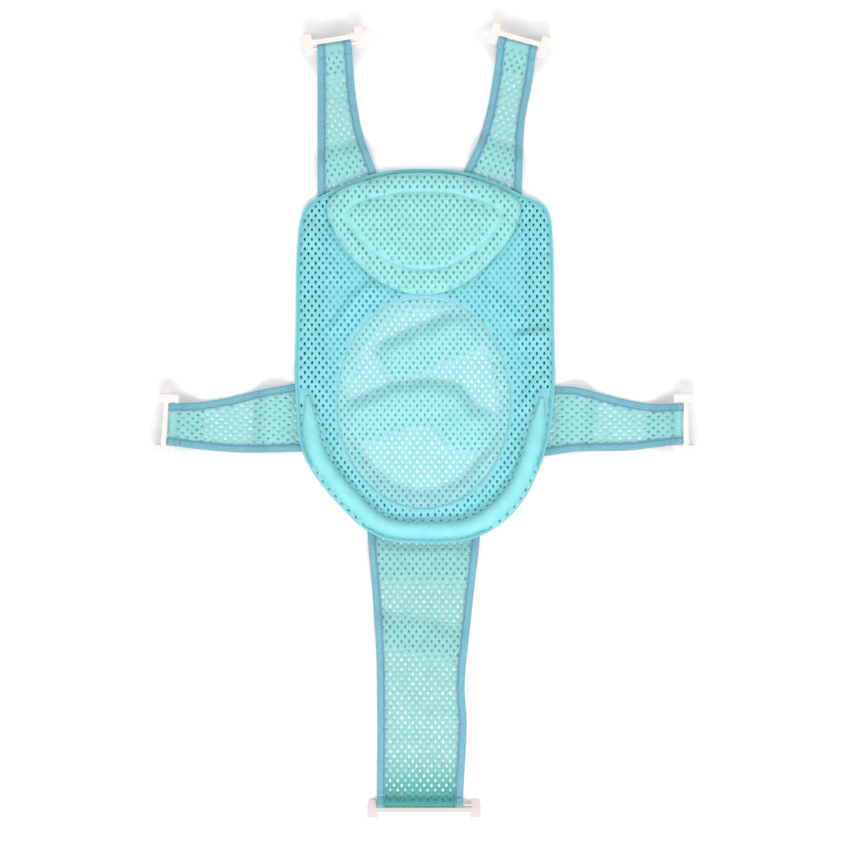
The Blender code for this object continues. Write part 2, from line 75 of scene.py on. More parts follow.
# Each strap: its tapes, its edges from root to tip on a walk outwards, the edges' offsets along the
# clip's bar, the bar, the heading in degrees, the clip's tilt and width, and the fold at the body.
STRAPS = {
    "shoulder_left": {
        "tapes": ("outer", "inner"),
        "left": [(-0.1187, 0.2538), (-0.1187, 0.31), (-0.1187, 0.37)],
        "right": [(-0.0543, 0.2814), (-0.0699, 0.3251), (-0.0778, 0.3676)],
        "tip": (-0.0189, 0.018),
        "bar": (-0.1, 0.4212, 0.0163), "heading": 98.9, "tilt": 8.0, "span": 0.0476,
        "hinge": (-0.08694, 0.26862, 0.0038), "outward": (-0.3939, 0.9191),
    },
    "shoulder_right": {
        "tapes": ("inner", "outer"),
        "left": [(0.0442, 0.2814), (0.0599, 0.3139), (0.0711, 0.3519), (0.0789, 0.3967)],
        "right": [(0.108, 0.2528), (0.1087, 0.2904), (0.1113, 0.3385), (0.1192, 0.381)],
        "tip": (-0.0217, 0.0214),
        "bar": (0.1037, 0.4222, 0.0163), "heading": 74.3, "tilt": 8.0, "span": 0.0476,
        "hinge": (0.07776, 0.27081, 0.0038), "outward": (0.4091, 0.9125),
    },
    "side_left": {
        "tapes": ("foot", "head"),
        "left": [(-0.136, -0.0297), (-0.2042, -0.0308), (-0.249, -0.0274)],
        "right": [(-0.1427, 0.0453), (-0.1852, 0.0375), (-0.2176, 0.0297), (-0.2523, 0.0241)],
        "tip": (-0.0229, 0.0228),
        "bar": (-0.2813, 0.0001, 0.018), "heading": 176.2, "tilt": 0.0, "span": 0.0476,
        "hinge": (-0.14269, 0.0075, 0.0038), "outward": (-0.996, -0.089),
    },
    "side_right": {
        "tapes": ("head", "foot"),
        "left": [(0.1427, 0.042), (0.1695, 0.0408), (0.2232, 0.0274), (0.256, 0.0222)],
        "right": [(0.139, -0.0341), (0.1695, -0.0297), (0.2277, -0.0285), (0.256, -0.0252)],
        "tip": (-0.0222, 0.0224),
        "bar": (0.2833, 0.0006, 0.018), "heading": 0.0, "tilt": 0.0, "span": 0.0476,
        "hinge": (0.14323, 0.00383, 0.0038), "outward": (0.9988, -0.0486),
    },
    "foot": {
        "tapes": ("right", "left"),
        "left": [(0.0605, -0.133), (0.0532, -0.1986), (0.0442, -0.2893), (0.0464, -0.3351),
                 (0.0431, -0.4034)],
        "right": [(-0.0621, -0.133), (-0.0537, -0.2434), (-0.052, -0.33), (-0.0525, -0.4034)],
        "tip": (-0.0425, 0.052),
        "bar": (-0.0005, -0.4255, 0.0057), "heading": 270.0, "tilt": 41.6, "span": 0.106,
        "hinge": (-0.0008, -0.1333, 0.0038), "outward": (0.0, -1.0),
    },
}

# The CAD names that go with each strap: its body, its band of mesh, its tapes, its clip and that
# clip's body.
for key, strap in STRAPS.items():
    part, _, side = key.partition("_")
    end = "_" + side if side else ""
    strap["body"] = key + "_strap"
    strap["band"] = f"{part}_strap{end}"
    strap["tapes"] = tuple(f"{part}_tape{end}_{edge}" for edge in strap["tapes"])
    strap["clip"] = (f"{part}_clip{end}", key + "_clip")

# ---- looks

NET_THICK = 0.0013
SLACK_THICK = 0.0009  # of the seat and the straps
NET_LEVEL = 0.002  # of the net's middle at its edge
SEAT_LEVEL = 0.0006
UNDER_BUMPER = 0.0024
UNDER_PILLOW = 0.003
PAD_FOOT = PAD_BASE - 0.0002
BACKING_INSET = 0.006
BODY_TAPE_DEPTH = 0.0036
PILLOW_RISE = 0.0102
GROOVE_DEPTH = 0.0032
GROOVE_WIDTH = 0.0032
HOLE = (0.00115, 0.0019)  # half width and half length of a hole at the waist of its strands
HOLE_ROUND = 0.00045  # how far the strands round over at each hole
HOLE_SIDES = 8
HOLE_UNEVEN = 0.1  # how much the holes differ in size, and in lean in radians
HOLE_DRIFT = 0.00022  # how far a hole strays from its row
SLACK_OPEN = (1.16, 0.28)  # how far slack cloth's holes open on the floor, and less in a fold
SLACK_LEVELS = (0.0007, 0.005)  # height at which that starts to change, and how far it takes
PITCH_ACROSS = 0.0081
PITCH_ALONG = 0.0053
CURVE_STEPS = 16
SLOPE_STEP = 0.0004  # how far apart two points lie to measure a sheet's slope
NEAR_BATCH = 200000  # pairs that near() weighs at once
TAPE_WALL = 0.00055
TAPE_GAP = 0.00015  # between a tape and the cloth in its fold


def smooth(share):
    """A smooth step from 0 to 1."""
    share = np.clip(share, 0.0, 1.0)
    return share * share * (3.0 - 2.0 * share)


def curve(points, samples, closed=False):
    """Evenly spaced points on a smooth curve through the given flat ones."""
    knots = [Vector(point).to_3d() for point in points]
    count = len(knots)
    dense = []
    for index in range(count if closed else count - 1):
        start, end = knots[index], knots[(index + 1) % count]
        before = knots[index - 1] if closed or index > 0 else start
        after = knots[(index + 2) % count] if closed or index + 2 < count else end
        reach = (end - start).length / 3.0
        leave = start + (end - before).normalized() * reach
        arrive = end - (after - start).normalized() * reach
        dense.extend(interpolate_bezier(start, leave, arrive, end, CURVE_STEPS)[:-1])
    dense.append(knots[0] if closed else knots[-1])
    return even(np.array(dense)[:, :2], samples, closed)


def lengths(line):
    """Distance travelled at each point of a chain."""
    return np.concatenate([[0.0], np.cumsum(np.linalg.norm(np.diff(line, axis=0), axis=1))])


def even(line, samples, closed=False):
    """Evenly spaced points along a chain of close ones, whose last is its first if closed."""
    travelled = lengths(line)
    goals = np.linspace(0.0, travelled[-1], samples + 1 if closed else samples)
    if closed:
        goals = goals[:-1]
    return np.stack([np.interp(goals, travelled, line[:, k]) for k in range(line.shape[1])], 1)


def unit(rows):
    """Rows of coordinates scaled to a length of 1."""
    return rows / np.maximum(np.linalg.norm(rows, axis=1), 1e-12)[:, None]


def inward(loop):
    """The inward direction at each point of an anticlockwise loop."""
    along = np.roll(loop, -1, 0) - np.roll(loop, 1, 0)
    return unit(np.stack([-along[:, 1], along[:, 0]], 1))


def within(points, loop):
    """True for each point inside a loop."""
    x, y = points[:, 0:1], points[:, 1:2]
    ax, ay = loop[:, 0], loop[:, 1]
    bx, by = np.roll(ax, -1), np.roll(ay, -1)
    spans = (ay > y) != (by > y)
    gap = np.where(np.abs(by - ay) < 1e-12, 1e-12, by - ay)
    return ((spans & (x < ax + (y - ay) * (bx - ax) / gap)).sum(1) % 2) == 1


def near(points, line, closed=False):
    """Distance to a chain of points, the share along it, and 1 on its left or -1 on its right."""
    start = line if closed else line[:-1]
    run = (np.roll(line, -1, 0) if closed else line[1:]) - start
    length = np.linalg.norm(run, axis=1)
    travelled = np.concatenate([[0.0], np.cumsum(length)])
    best, share, side = np.zeros(len(points)), np.zeros(len(points)), np.ones(len(points))
    batch = max(1, NEAR_BATCH // len(start))
    for first in range(0, len(points), batch):
        part = slice(first, first + batch)
        ox = points[part, 0:1] - start[:, 0]
        oy = points[part, 1:2] - start[:, 1]
        t = np.clip((ox * run[:, 0] + oy * run[:, 1]) / length ** 2, 0.0, 1.0)
        gap = (ox - t * run[:, 0]) ** 2 + (oy - t * run[:, 1]) ** 2
        k = gap.argmin(1)
        row = np.arange(len(k))
        best[part] = np.sqrt(gap[row, k])
        share[part] = (travelled[k] + t[row, k] * length[k]) / travelled[-1]
        cross = run[k, 0] * oy[row, k] - run[k, 1] * ox[row, k]
        side[part] = np.where(cross >= 0, 1.0, -1.0)
    return best, share, side


def wave(points, line, front, back, height, ends=0.15):
    """A fold along a line: it falls over front on the line's left and over back on its right."""
    distance, share, side = near(points, np.array(line))
    reach = np.where(side > 0, front, back)
    fade = smooth(share / ends) * smooth((1.0 - share) / ends)
    return height * fade * smooth(1.0 - distance / reach)


def ripple(points, length, seed):
    """Gentle unevenness between -1 and 1."""
    x, y = points[:, 0] / length, points[:, 1] / length
    total = np.zeros(len(points))
    for k, share in enumerate((0.5, 0.3, 0.2)):
        angle = seed * 2.4 + k * 1.9
        along = x * math.cos(angle) + y * math.sin(angle)
        across = y * math.cos(angle) - x * math.sin(angle)
        turn = 2.0 * math.pi * (1.0 + 0.83 * k)
        total += share * np.sin(turn * along + seed + 1.3 * np.sin(turn * 0.6 * across + k))
    return total


def mixed(first, second, share):
    """The first value where the share is 0, the second where it is 1."""
    return first * (1.0 - share) + second * share


def raised(height):
    """A place function that lifts flat points by a height function."""
    return lambda points: np.column_stack([points, height(points)])


# ---- mesh making

def new_piece(name, points, faces, material, flat=None):
    """A smooth mesh object. flat holds each point's place in the cloth's flat pattern, for UVs."""
    mesh = bpy.data.meshes.new(name)
    mesh.from_pydata(np.asarray(points).tolist(), [], faces)
    mesh.validate()
    if flat is not None:
        corners = np.empty(len(mesh.loops), np.int32)
        mesh.loops.foreach_get("vertex_index", corners)
        layer = mesh.uv_layers.new(name="pattern")
        layer.data.foreach_set("uv", (np.asarray(flat)[corners] * 100.0).ravel())
    mesh.shade_smooth()
    mesh.materials.append(material)
    piece = bpy.data.objects.new(name, mesh)
    bpy.context.scene.collection.objects.link(piece)
    return piece


def hole_places(loop, voids=(), turn=0.0, across=PITCH_ACROSS, along=PITCH_ALONG, margin=0.0032,
                start=(0.0, 0.0)):
    """Places of holes in staggered rows inside a loop, clear of it and of the loops in voids."""
    ex = np.array([math.cos(turn), math.sin(turn)])
    ey = np.array([-ex[1], ex[0]])
    rel = loop - np.array(start)
    u, v = rel @ ex, rel @ ey
    rows = np.arange(math.floor(v.min() / along), math.ceil(v.max() / along) + 1)
    columns = np.arange(math.floor(u.min() / across) - 1, math.ceil(u.max() / across) + 1)
    grid_v, grid_u = np.meshgrid(rows, columns, indexing="ij")
    pu = (grid_u + 0.5 * (grid_v % 2)).ravel() * across
    pv = grid_v.ravel() * along
    places = np.array(start) + pu[:, None] * ex + pv[:, None] * ey
    places += HOLE_DRIFT * np.stack([ripple(places, 0.023, 1.0), ripple(places, 0.019, 2.0)], 1)
    keep = within(places, loop) & (near(places, loop, True)[0] > margin)
    for void in voids:
        keep &= ~within(places, void) & (near(places, void, True)[0] > margin)
    return places[keep]


def hole_rings(places, turn, size, grow, open_by=1.0):
    """The oval ring of points around each hole."""
    angle = 2.0 * math.pi * np.arange(HOLE_SIDES) / HOLE_SIDES
    uneven = open_by * (1.0 + HOLE_UNEVEN * ripple(places, 0.0137, 5.0))
    lean = turn + HOLE_UNEVEN * ripple(places, 0.048, 3.0)
    wide = (size[0] * uneven)[:, None] + grow
    long = (size[1] * uneven)[:, None] + grow
    a, b = wide * np.cos(angle), long * np.sin(angle)
    cos, sin = np.cos(lean)[:, None], np.sin(lean)[:, None]
    ring = np.stack([a * cos - b * sin, a * sin + b * cos], 2)
    return places[:, None, :] + ring


def surface(place, flat):
    """A sheet's middle surface at flat points, and its upward direction there."""
    du = place(flat + (SLOPE_STEP, 0.0)) - place(flat - (SLOPE_STEP, 0.0))
    dv = place(flat + (0.0, SLOPE_STEP)) - place(flat - (0.0, SLOPE_STEP))
    return place(flat), unit(np.cross(du, dv))


def cloth(name, material, loop, place, holes=None, turn=0.0, voids=(), thick=NET_THICK,
          size=HOLE, extra=None, slack=False, flat_shift=(0.0, 0.0)):
    """A closed sheet of the given thickness, cut to a loop, with rounded holes.

    place(points) maps flat points to the sheet's middle surface, in space. Slack cloth has its
    holes pulled wider where it lies on the floor than where it stands in folds.
    """
    loops = [loop] + list(voids)
    points, polygons = [], []
    for ring in loops:
        polygons.append(list(range(len(points), len(points) + len(ring))))
        points.extend(ring.tolist())
    edge_count = len(points)
    some = holes is not None
    if some:
        open_by = 1.0
        if slack:
            raised = smooth((place(holes)[:, 2] - SLACK_LEVELS[0]) / SLACK_LEVELS[1])
            open_by = SLACK_OPEN[0] - SLACK_OPEN[1] * raised
        for ring in hole_rings(holes, turn, size, HOLE_ROUND, open_by):
            polygons.append(list(range(len(points), len(points) + HOLE_SIDES)))
            points.extend(ring.tolist())
    if extra is not None:
        points.extend(extra.tolist())
    made = delaunay_2d_cdt([Vector(p) for p in points], [], polygons, 0, 1e-8, True)
    flat = np.array([tuple(p) for p in made[0]])
    place_of = {}
    for index, origins in enumerate(made[3]):
        for origin in origins:
            place_of[origin] = index
    faces = [tuple(f) for f, origins in zip(made[2], made[5]) if list(origins) == [0]]
    count = len(flat)
    middle, up = surface(place, flat)
    all_points = [middle + up * thick / 2.0, middle - up * thick / 2.0]
    all_flat = [flat, flat]
    solid = list(faces) + [tuple(i + count for i in reversed(face)) for face in faces]
    start = 0
    for number, ring in enumerate(loops):
        corners = [place_of[start + k] for k in range(len(ring))]
        start += len(ring)
        for k, here in enumerate(corners):
            there = corners[(k + 1) % len(corners)]
            wall = (here + count, there + count, there, here)
            solid.append(wall if number == 0 else wall[::-1])
    if some:
        waist = hole_rings(holes, turn, size, 0.0, open_by).reshape(-1, 2)
        all_points.append(place(waist))
        all_flat.append(waist)
        for number in range(len(holes)):
            rim = [place_of[edge_count + number * HOLE_SIDES + k] for k in range(HOLE_SIDES)]
            neck = 2 * count + number * HOLE_SIDES
            for k in range(HOLE_SIDES):
                n = (k + 1) % HOLE_SIDES
                solid.append((rim[k], rim[n], neck + n, neck + k))
                solid.append((neck + k, neck + n, rim[n] + count, rim[k] + count))
    everything = np.concatenate(all_flat) + np.array(flat_shift)
    return new_piece(name, np.concatenate(all_points), solid, material, everything)


def sweep(rings, closed):
    """Faces of a tube through rings of equal size, with flat ends if it is open."""
    count, size = rings.shape[0], rings.shape[1]
    faces = []
    for row in range(count if closed else count - 1):
        here, there = row * size, (row + 1) % count * size
        for k in range(size):
            n = (k + 1) % size
            faces.append((here + k, here + n, there + n, there + k))
    if not closed:
        faces.append(tuple(reversed(range(size))))
        faces.append(tuple(range((count - 1) * size, count * size)))
    return faces


def tube(name, rings, material, closed=False, flat=None):
    """A closed piece through rings of equal size, with every face turned outwards."""
    piece = new_piece(name, rings.reshape(-1, 3), sweep(rings, closed), material, flat)
    shell = bmesh.new()
    shell.from_mesh(piece.data)
    bmesh.ops.recalc_face_normals(shell, faces=shell.faces)
    shell.to_mesh(piece.data)
    shell.free()
    return piece


def tape(name, material, line, aim, place, depth, cloth_thick, closed, seed=0.0):
    """A binding folded over an edge. line runs along the edge and aim points into the cloth."""
    half = cloth_thick / 2.0 + TAPE_GAP
    full = half + TAPE_WALL
    outer_end = 6  # the section's point on the outermost line of the fold
    section = np.array([
        (depth, full * 0.93), (depth * 0.93, full), (depth * 0.62, full * 0.93),
        (depth * 0.3, full * 1.02), (0.0002, full), (-0.0004, full * 0.72),
        (-TAPE_WALL * 1.15, 0.0), (-0.0004, -full * 0.72), (0.0002, -full), (depth * 0.5, -full),
        (depth, -full), (depth, -half), (0.0003, -half), (0.0, 0.0), (0.0003, half), (depth, half),
    ])
    rings = np.zeros((len(line), len(section), 3))
    flats = np.zeros((len(line), len(section), 2))
    travelled = lengths(line)
    around = lengths(section)
    pucker = 1.0 + 0.035 * np.sin(travelled / 0.0031 * 2.0 * math.pi + seed)
    pucker += 0.03 * np.sin(travelled / 0.017 * 2.0 * math.pi + 2.0 * seed)
    for k, (across, lift) in enumerate(section):
        inset = across * (pucker if across > 0.002 else np.ones(len(line)))
        middle, up = surface(place, line + aim * inset[:, None])
        rings[:, k] = middle + up * lift
        flats[:, k, 0] = travelled
        flats[:, k, 1] = around[k] if k <= outer_end else around[k] - around[outer_end] + 0.02
    return tube(name, rings, material, closed, flats.reshape(-1, 2))


# ---- materials

STITCH = 0.11  # width of a knitted stitch, in centimetres
GLOW = (0.15, 0.9, 0.86)  # colour of the light that a knit lets through
STITCH_ROW = 0.14  # from a tape's inner edge to its row of stitches, in centimetres
STITCH_PITCH = 0.27  # from one stitch of that row to the next, in centimetres


class Look:
    """A material in the making. Its methods add nodes and return one output of theirs."""

    def __init__(self, material, settings=None):
        material.use_nodes = True
        self.material = material
        self.tree = material.node_tree
        self.shader = self.tree.nodes["Principled BSDF"]
        for key, value in (settings or {}).items():
            self.shader.inputs[key].default_value = value

    def add(self, kind, inputs=None, output=0, **settings):
        node = self.tree.nodes.new("ShaderNode" + kind)
        for key, value in settings.items():
            setattr(node, key, value)
        for key, value in (inputs or {}).items():
            if isinstance(value, bpy.types.NodeSocket):
                self.tree.links.new(value, node.inputs[key])
            else:
                node.inputs[key].default_value = value
        return node.outputs[output]

    def put(self, key, value):
        self.tree.links.new(value, self.shader.inputs[key])

    def maths(self, operation, *values):
        return self.add("Math", dict(enumerate(values)), operation=operation)

    def noise(self, place, scale, detail, roughness=0.5):
        return self.add("TexNoise", {"Vector": place, "Scale": scale, "Detail": detail,
                                     "Roughness": roughness}, "Fac")

    def waves(self, place, way, scale, distortion, detail, detail_scale=1.0):
        return self.add("TexWave", {"Vector": place, "Scale": scale, "Distortion": distortion,
                                    "Detail": detail, "Detail Scale": detail_scale}, "Fac",
                        wave_type="BANDS", bands_direction=way)

    def span(self, value, start, end, low=0.0, high=1.0, **settings):
        return self.add("MapRange", {"Value": value, "From Min": start, "From Max": end,
                                     "To Min": low, "To Max": high}, **settings)

    def ramp(self, share, *stops):
        """Colours along a share, each with its place."""
        colour = self.add("ValToRGB", {"Fac": share}, "Color")
        elements = colour.node.color_ramp.elements
        for element, (place, value) in zip(elements, (stops[0], stops[-1])):
            element.position = place
            element.color = (*value, 1.0)
        for place, value in stops[1:-1]:
            elements.new(place).color = (*value, 1.0)
        return colour

    def mix(self, share, first, colour):
        return self.add("Mix", {0: share, 6: first, 7: (*colour, 1.0)}, 2, data_type="RGBA")

    def relief(self, height, strength, distance):
        normal = self.add("Bump", {"Height": height, "Strength": strength, "Distance": distance})
        self.put("Normal", normal)
        return normal


def knit_material(name, low, middle, high, sheen, through, bump):
    """A knitted mesh cloth: mottled colour, fine ribs, fuzz, and some light let through."""
    look = Look(bpy.data.materials.new(name), {
        "Roughness": 0.82, "Specular IOR Level": 0.25, "Sheen Weight": sheen,
        "Sheen Roughness": 0.45, "Sheen Tint": (0.75, 1.0, 1.0, 1.0),
    })
    pattern = look.add("UVMap", uv_map="pattern")
    broad = look.noise(pattern, 0.55, 3.0, 0.55)
    fine = look.noise(pattern, 5.5, 4.0, 0.7)
    total = look.maths("MULTIPLY_ADD", fine, 0.55, look.maths("MULTIPLY", broad, 0.45))
    look.put("Base Color", look.ramp(total, (0.34, low), (0.5, middle), (0.66, high)))
    scale = (1.0 / STITCH, 1.0 / (STITCH * 1.5), 1.0)
    scaled = look.add("Mapping", {"Vector": pattern, "Scale": scale})
    ribs = look.waves(scaled, "X", 0.32, 1.6, 2.0, 1.4)
    loops = look.waves(scaled, "Y", 0.32, 2.2, 1.0, 2.0)
    grain = look.maths("MULTIPLY_ADD", fine, 1.2, look.maths("ADD", ribs, loops))
    normal = look.relief(grain, bump, 0.0004)
    if through > 0.0:
        behind = look.add("BsdfTranslucent", {"Color": (*GLOW, 1.0), "Normal": normal})
        blend = look.add("MixShader", {0: through, 1: look.shader.outputs[0], 2: behind})
        look.tree.links.new(blend, look.tree.nodes["Material Output"].inputs["Surface"])
    return look.material


def paint_shade(material, axis, start, end, shade_colour):
    """Painted shade: deepen a knit's colour from start to end centimetres out along an axis of its
    pattern.
    """
    look = Look(material)
    plain = look.shader.inputs["Base Color"].links[0].from_socket
    place = look.add("SeparateXYZ", {"Vector": look.add("UVMap", uv_map="pattern")}, axis)
    share = look.span(look.maths("ABSOLUTE", place), start, end, interpolation_type="SMOOTHSTEP")
    look.put("Base Color", look.mix(share, plain, shade_colour))


def tape_material(name, low, high, thread):
    """Woven binding tape with a row of stitches near its inner edge."""
    look = Look(bpy.data.materials.new(name), {
        "Roughness": 0.72, "Specular IOR Level": 0.3, "Sheen Weight": 0.15, "Sheen Roughness": 0.4,
    })
    pattern = look.add("UVMap", uv_map="pattern")
    along = look.add("SeparateXYZ", {"Vector": pattern}, "X")
    across = look.add("SeparateXYZ", {"Vector": pattern}, "Y")
    weave = look.waves(pattern, "DIAGONAL", 3.4, 0.6, 1.0)
    mottle = look.maths("MULTIPLY_ADD", weave, 0.25, look.noise(pattern, 3.2, 4.0, 0.65))
    cloth_colour = look.ramp(mottle, (0.38, low), (0.86, high))
    # The row: a narrow band across, broken into stitches along. UVs are in centimetres.
    apart = look.maths("ABSOLUTE", look.maths("SUBTRACT", across, STITCH_ROW))
    band = look.span(apart, 0.03, 0.075, 1.0, 0.0)
    beat = look.maths("SINE", look.maths("MULTIPLY", along, 2.0 * math.pi / STITCH_PITCH))
    row = look.maths("MULTIPLY", band, look.span(beat, -0.75, -0.35, 0.35, 1.0))
    look.put("Base Color", look.mix(row, cloth_colour, thread))
    look.relief(look.maths("MULTIPLY_ADD", row, -1.6, weave), 0.5, 0.0003)
    return look.material


def foam_material(name, low, high):
    """Open-cell foam."""
    look = Look(bpy.data.materials.new(name), {"Roughness": 0.95})
    cells = look.add("TexVoronoi", {"Vector": look.add("TexCoord", None, "Object"), "Scale": 900.0})
    look.put("Base Color", look.ramp(cells, (0.0, low), (0.6, high)))
    look.relief(cells, 0.4, 0.0004)
    return look.material


def plastic_material(name):
    """White moulded plastic with a faint flow pattern in its gloss."""
    look = Look(bpy.data.materials.new(name), {"Coat Weight": 0.2, "Coat Roughness": 0.15})
    place = look.add("TexCoord", None, "Object")
    flow = look.noise(place, 60.0, 3.0)
    tone = look.ramp(flow, (0.0, (0.7, 0.605, 0.58)), (1.0, (0.745, 0.645, 0.62)))
    look.put("Base Color", tone)
    look.put("Roughness", look.span(flow, 0.0, 1.0, 0.24, 0.38))
    look.relief(look.noise(place, 1400.0, 2.0), 0.06, 0.0002)
    return look.material


# ---- the net's shape

def oval(samples, extra=0.0):
    """A ring on the seat pouch's seam, or extra metres outside it."""
    angle = 2.0 * math.pi * np.arange(samples) / samples
    x = SEAT_CENTRE[0] + (SEAT_RADII[0] + extra) * np.cos(angle)
    y = SEAT_CENTRE[1] + (SEAT_RADII[1] + extra) * np.sin(angle)
    return np.stack([x, y], 1)


def seat_share(points):
    """0 at the seat's middle and 1 on its seam."""
    return np.hypot((points[:, 0] - SEAT_CENTRE[0]) / SEAT_RADII[0],
                    (points[:, 1] - SEAT_CENTRE[1]) / SEAT_RADII[1])


OUTLINE = curve(BODY_OUTLINE, 240, True)
SEAM = oval(120)
PILLOW = curve(PILLOW_OUTLINE, 130, True)
GROOVE = (PILLOW - np.array(PILLOW_CENTRE)) * np.array(GROOVE_SHARE) + np.array(PILLOW_CENTRE)


def bumper_line(samples):
    """The middle line of the bumper, from its left end around the foot end to its right end."""
    middle = OUTLINE + inward(OUTLINE) * (BUMPER_WIDTH / 2.0 + BUMPER_INSET)
    run = middle[OUTLINE[:, 1] < BUMPER_HEAD_LIMIT]
    order = np.argsort(np.arctan2(run[:, 0], SEAT_CENTRE[1] + SEAT_RADII[1] - run[:, 1]))
    return even(run[order], samples)


BUMPER_LINE = bumper_line(160)

# Folds in the net around the seat: line, fall to its left, fall to its right, height.
BODY_FOLDS = [
    ([(-0.05, 0.16), (-0.076, 0.14), (-0.106, 0.1)], 0.02, 0.011, 0.005),
    ([(0.146, 0.101), (0.122, 0.1), (0.099, 0.095)], 0.018, 0.01, 0.0056),
    ([(0.025, -0.101), (0.064, -0.08), (0.096, -0.046), (0.109, -0.01)], 0.007, 0.007, 0.0046),
    ([(-0.134, 0.23), (-0.109, 0.18), (-0.09, 0.15)], 0.016, 0.012, 0.0026),
    ([(0.056, 0.156), (0.085, 0.135), (0.108, 0.106)], 0.016, 0.012, 0.0028),
    ([(0.118, 0.23), (0.124, 0.18), (0.12, 0.14)], 0.012, 0.014, 0.0024),
    ([(-0.138, 0.12), (-0.118, 0.084), (-0.108, 0.048)], 0.012, 0.012, 0.0022),
    ([(0.14, 0.056), (0.124, 0.04), (0.106, 0.01)], 0.01, 0.012, 0.0034),
]

# Folds in the slack seat, in the same form.
SEAT_FOLDS = [
    ([(-0.056, 0.07), (-0.024, 0.085), (0.016, 0.103), (0.066, 0.123)], 0.02, 0.04, 0.0088),
    ([(-0.102, 0.0), (-0.064, 0.017), (-0.03, 0.031), (0.006, 0.034),
      (0.032, 0.029), (0.046, 0.006), (0.086, -0.006)], 0.02, 0.042, 0.0096),
    ([(0.044, -0.08), (0.066, -0.056), (0.086, -0.018)], 0.009, 0.009, 0.0062),
    ([(0.026, -0.086), (0.052, -0.064), (0.072, -0.033)], 0.008, 0.009, 0.0046),
    ([(-0.086, 0.05), (-0.074, 0.09), (-0.044, 0.124)], 0.01, 0.009, 0.0018),
    ([(0.07, 0.11), (0.085, 0.07), (0.09, 0.034)], 0.014, 0.012, 0.0056),
]


def root_lift(points):
    """How far the net's edge is lifted where a strap is sewn on underneath, from 0 to 1."""
    lift = np.zeros(len(points))
    for strap in STRAPS.values():
        ends = np.array([strap["left"][0], strap["right"][0]])
        lift = np.maximum(lift, smooth(1.0 - (near(points, ends)[0] - 0.014) / 0.014))
    return lift


def seam_height(points):
    """Height of the net where the seat is sewn in: higher at the foot end, by the bumper."""
    toward_foot = smooth((SEAT_CENTRE[1] - points[:, 1] + 0.03) / 0.11)
    return 0.0036 + 0.0046 * toward_foot + 0.0005 * ripple(points, 0.07, 4.0)


def body_height(points):
    """Height of the middle of the net outside the seat."""
    edge = near(points, OUTLINE, True)[0]
    seam = near(points, SEAM, True)[0]
    z = NET_LEVEL + 0.0042 * smooth(edge / 0.01) - 0.0039 * smooth((edge - 0.017) / 0.018)
    z = z + 0.0005 * ripple(points, 0.052, 7.0) * smooth(edge / 0.02)
    for line, front, back, height in BODY_FOLDS:
        z = z + wave(points, line, front, back, height) * smooth(edge / 0.01)
    z = mixed(z, seam_height(points), smooth(1.0 - seam / 0.016))
    z = z - 0.0008 * np.exp(-(seam / 0.0026) ** 2)
    roll = near(points, BUMPER_LINE)[0]
    z = mixed(z, UNDER_BUMPER, smooth((0.015 - roll) / 0.0055))
    pad = near(points, PILLOW, True)[0]
    pad = np.where(within(points, PILLOW), pad, -pad)
    z = mixed(z, UNDER_PILLOW, smooth((pad + 0.003) / 0.005))
    lift = 0.0023 * root_lift(points)
    z = z + lift * smooth(1.0 - edge / 0.02)
    return mixed(NET_LEVEL + lift, z, smooth(edge / 0.0042))


def seat_height(points):
    """Height of the middle of the seat's slack cloth."""
    z = np.full(len(points), SEAT_LEVEL)
    for line, front, back, height in SEAT_FOLDS:
        fold = wave(points, line, front, back, height, 0.18)
        z = np.maximum(z, SEAT_LEVEL + fold) + 0.25 * np.minimum(z - SEAT_LEVEL, fold)
    uneven = 0.0006 * (0.5 + 0.5 * ripple(points, 0.041, 2.0))
    z = z + uneven * smooth((z - SEAT_LEVEL) / 0.001)
    foot = smooth((SEAT_CENTRE[1] - points[:, 1] + 0.02) / 0.1)
    start = 0.8 - 0.02 * foot  # the share of the seat's radii where it starts to rise
    rise = smooth((seat_share(points) - start) / (1.0 - start))
    return mixed(z, seam_height(points) - 0.0012, rise)


def band_height(points):
    """Height of the seam's band: hidden under the net, but showing along the seat's head end."""
    arc = smooth((points[:, 1] - 0.134) / 0.004) * smooth((1.0 - seat_share(points)) / 0.012)
    return seam_height(points) - 0.0022 + 0.0023 * arc


def backing_height(points):
    """Height of the thin second layer of the net."""
    return 0.00085 + 0.0002 * ripple(points, 0.05, 3.0)


def grid_inside(loop, pitch, margin, voids=()):
    """Spare points in a staggered grid, to let a sheet bend where it has no holes."""
    return hole_places(loop, voids, 0.3, pitch, pitch * 0.86, margin)


# ---- body, seat and binding

